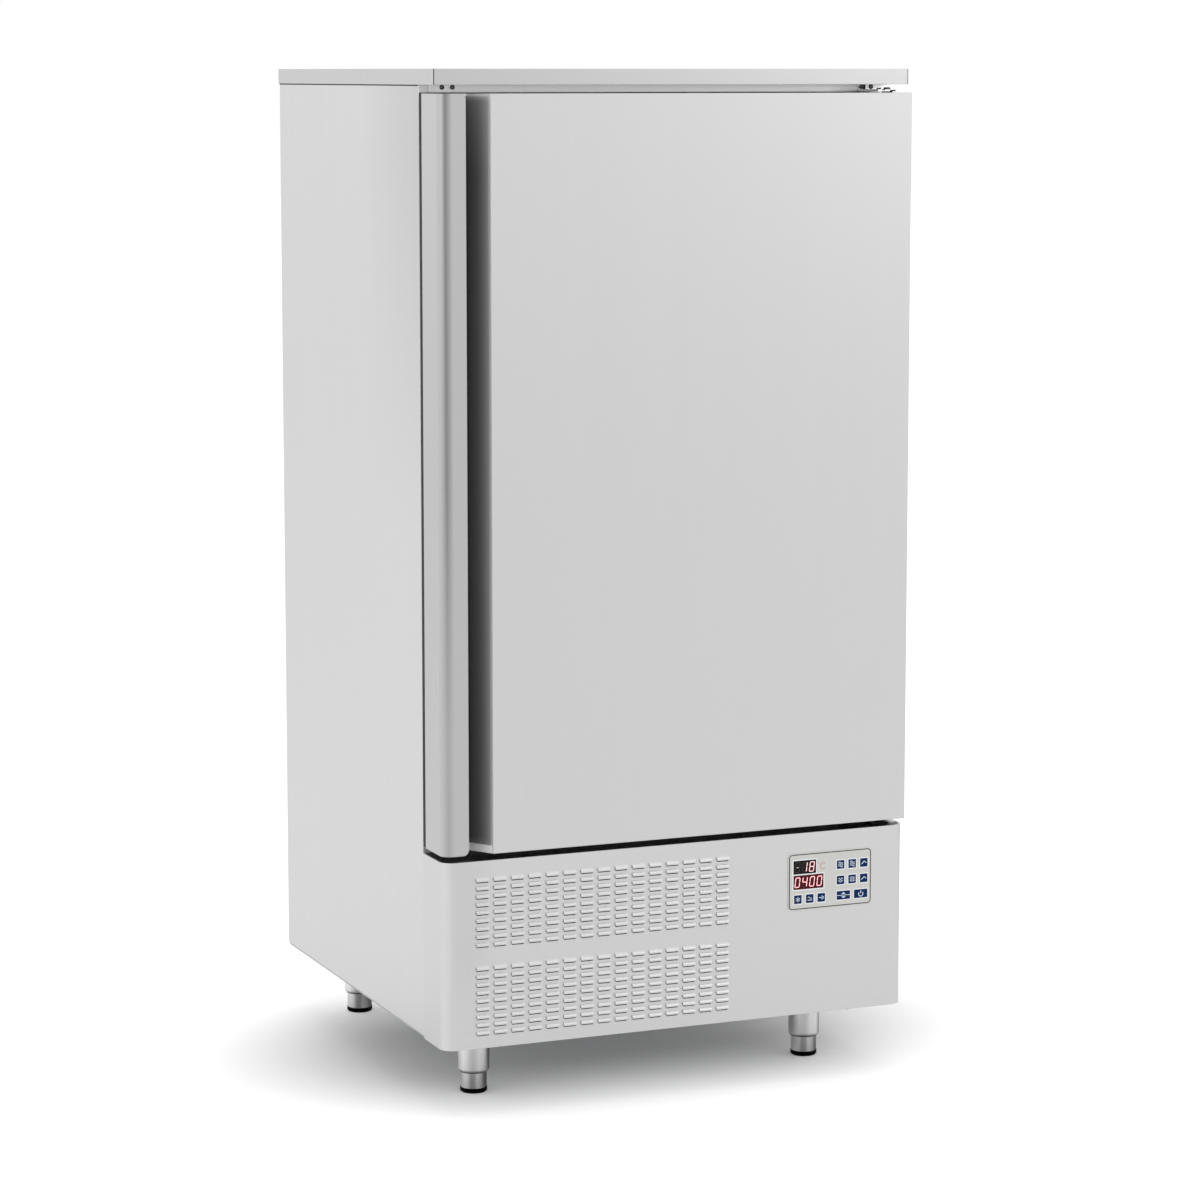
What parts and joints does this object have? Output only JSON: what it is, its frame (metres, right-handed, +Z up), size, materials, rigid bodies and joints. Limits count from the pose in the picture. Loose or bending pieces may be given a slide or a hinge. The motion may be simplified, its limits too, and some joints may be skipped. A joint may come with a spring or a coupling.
{
  "type": "reach-in blast chiller",
  "caption": "Upright stainless steel refrigerated cabinet with a full-height hinged door, side finger recess, louvred machine compartment front, control panel and screw feet.",
  "frame": {"origin": "on the floor under the middle of the footprint, that is the bottom centre of the bounding box", "axes": "+Z up, front with the door and the control panel facing -Y, +X to the right seen from the front"},
  "size_m": [0.796, 0.775, 1.612],
  "materials": {
    "stainless": "satin brushed",
    "galvanised": "matte",
    "foam": "matte",
    "black_metal": "satin",
    "copper": "satin",
    "fins": "satin",
    "panel": "matte",
    "display": "gloss",
    "white_plastic": "matte",
    "black_plastic": "matte",
    "hinge_steel": "polished",
    "foot_steel": "satin",
    "shelf_wire": "polished",
    "key": "satin",
    "grip": "matte",
    "seal": "matte"
  },
  "bodies": {
    "cabinet": {"side_panel_left": "stainless", "side_panel_right": "stainless", "back_panel": "stainless", "worktop": "stainless", "front_frame": "stainless", "cabinet_insulation": "foam", "chamber_liner": "stainless", "deck_plate": "galvanised", "chassis_tray": "galvanised", "base_front_panel": "stainless", "rear_grille": "galvanised", "compressor": "black_metal", "condenser_coil": "copper", "condenser_shroud": "galvanised", "condenser_fan_motor": "black_metal", "liquid_receiver": "black_metal", "filter_drier": "copper", "refrigerant_pipes": "copper", "control_box": "galvanised", "control_panel": "panel", "display_board": "display", "evaporator_coil": "fins", "fan_baffle": "stainless", "evaporator_fan_motors": "black_metal", "tray_racks": "stainless", "core_probe": "black_plastic", "drain_pipe": "white_plastic", "cable_gland": "black_plastic", "hinge_bracket_top": "hinge_steel", "hinge_bracket_bottom": "hinge_steel", "body_screws": "hinge_steel", "leg_tubes": "foot_steel"},
    "door": {"door_skin": "stainless", "door_handle": "stainless", "grip_liner": "grip", "door_liner": "stainless", "door_insulation": "foam", "door_gasket": "seal", "hinge_bushes": "white_plastic"},
    "foot_front_left": {"foot_front_left": "foot_steel"},
    "foot_front_right": {"foot_front_right": "foot_steel"},
    "foot_rear_left": {"foot_rear_left": "foot_steel"},
    "foot_rear_right": {"foot_rear_right": "foot_steel"},
    "condenser_fan_blade": {"condenser_fan_blade": "black_plastic"},
    "evaporator_fan_upper": {"evaporator_fan_upper": "black_plastic"},
    "evaporator_fan_lower": {"evaporator_fan_lower": "black_plastic"},
    "wire_shelf_upper": {"wire_shelf_upper": "shelf_wire"},
    "wire_shelf_middle": {"wire_shelf_middle": "shelf_wire"},
    "wire_shelf_lower": {"wire_shelf_lower": "shelf_wire"},
    "key_left_1": {"key_left_1": "key"},
    "key_left_2": {"key_left_2": "key"},
    "key_left_3": {"key_left_3": "key"},
    "key_top_1": {"key_top_1": "key"},
    "key_top_2": {"key_top_2": "key"},
    "key_top_3": {"key_top_3": "key"},
    "key_mid_1": {"key_mid_1": "key"},
    "key_mid_2": {"key_mid_2": "key"},
    "key_mid_3": {"key_mid_3": "key"},
    "key_arrows": {"key_arrows": "key"},
    "key_power": {"key_power": "key"}
  },
  "joints": [
    {"name": "door_hinge", "type": "hinge", "parent": "cabinet", "child": "door", "pos_m": [0.371, -0.3455, 0.995], "axis": [0, 0, 1], "range_deg": [0, 110]},
    {"name": "foot_front_left_screw", "type": "slide", "parent": "cabinet", "child": "foot_front_left", "axis": [0, 0, -1], "range_m": [0, 0.04]},
    {"name": "foot_front_right_screw", "type": "slide", "parent": "cabinet", "child": "foot_front_right", "axis": [0, 0, -1], "range_m": [0, 0.04]},
    {"name": "foot_rear_left_screw", "type": "slide", "parent": "cabinet", "child": "foot_rear_left", "axis": [0, 0, -1], "range_m": [0, 0.04]},
    {"name": "foot_rear_right_screw", "type": "slide", "parent": "cabinet", "child": "foot_rear_right", "axis": [0, 0, -1], "range_m": [0, 0.04]},
    {"name": "condenser_fan_spin", "type": "hinge", "parent": "cabinet", "child": "condenser_fan_blade", "pos_m": [-0.13, -0.2515, 0.2447], "axis": [0, 1, 0], "continuous": true},
    {"name": "evaporator_fan_upper_spin", "type": "hinge", "parent": "cabinet", "child": "evaporator_fan_upper", "pos_m": [0, 0.186, 1.244], "axis": [0, 1, 0], "continuous": true},
    {"name": "evaporator_fan_lower_spin", "type": "hinge", "parent": "cabinet", "child": "evaporator_fan_lower", "pos_m": [0, 0.186, 0.745], "axis": [0, 1, 0], "continuous": true},
    {"name": "wire_shelf_upper_slide", "type": "slide", "parent": "cabinet", "child": "wire_shelf_upper", "axis": [0, -1, 0], "range_m": [0, 0.04]},
    {"name": "wire_shelf_middle_slide", "type": "slide", "parent": "cabinet", "child": "wire_shelf_middle", "axis": [0, -1, 0], "range_m": [0, 0.04]},
    {"name": "wire_shelf_lower_slide", "type": "slide", "parent": "cabinet", "child": "wire_shelf_lower", "axis": [0, -1, 0], "range_m": [0, 0.04]},
    {"name": "key_left_1_press", "type": "slide", "parent": "cabinet", "child": "key_left_1", "axis": [0, 1, 0], "range_m": [0, 0.0005], "stiffness_N_per_m": 400},
    {"name": "key_left_2_press", "type": "slide", "parent": "cabinet", "child": "key_left_2", "axis": [0, 1, 0], "range_m": [0, 0.0005], "stiffness_N_per_m": 400},
    {"name": "key_left_3_press", "type": "slide", "parent": "cabinet", "child": "key_left_3", "axis": [0, 1, 0], "range_m": [0, 0.0005], "stiffness_N_per_m": 400},
    {"name": "key_top_1_press", "type": "slide", "parent": "cabinet", "child": "key_top_1", "axis": [0, 1, 0], "range_m": [0, 0.0005], "stiffness_N_per_m": 400},
    {"name": "key_top_2_press", "type": "slide", "parent": "cabinet", "child": "key_top_2", "axis": [0, 1, 0], "range_m": [0, 0.0005], "stiffness_N_per_m": 400},
    {"name": "key_top_3_press", "type": "slide", "parent": "cabinet", "child": "key_top_3", "axis": [0, 1, 0], "range_m": [0, 0.0005], "stiffness_N_per_m": 400},
    {"name": "key_mid_1_press", "type": "slide", "parent": "cabinet", "child": "key_mid_1", "axis": [0, 1, 0], "range_m": [0, 0.0005], "stiffness_N_per_m": 400},
    {"name": "key_mid_2_press", "type": "slide", "parent": "cabinet", "child": "key_mid_2", "axis": [0, 1, 0], "range_m": [0, 0.0005], "stiffness_N_per_m": 400},
    {"name": "key_mid_3_press", "type": "slide", "parent": "cabinet", "child": "key_mid_3", "axis": [0, 1, 0], "range_m": [0, 0.0005], "stiffness_N_per_m": 400},
    {"name": "key_arrows_press", "type": "slide", "parent": "cabinet", "child": "key_arrows", "axis": [0, 1, 0], "range_m": [0, 0.0005], "stiffness_N_per_m": 400},
    {"name": "key_power_press", "type": "slide", "parent": "cabinet", "child": "key_power", "axis": [0, 1, 0], "range_m": [0, 0.0005], "stiffness_N_per_m": 400}
  ]
}
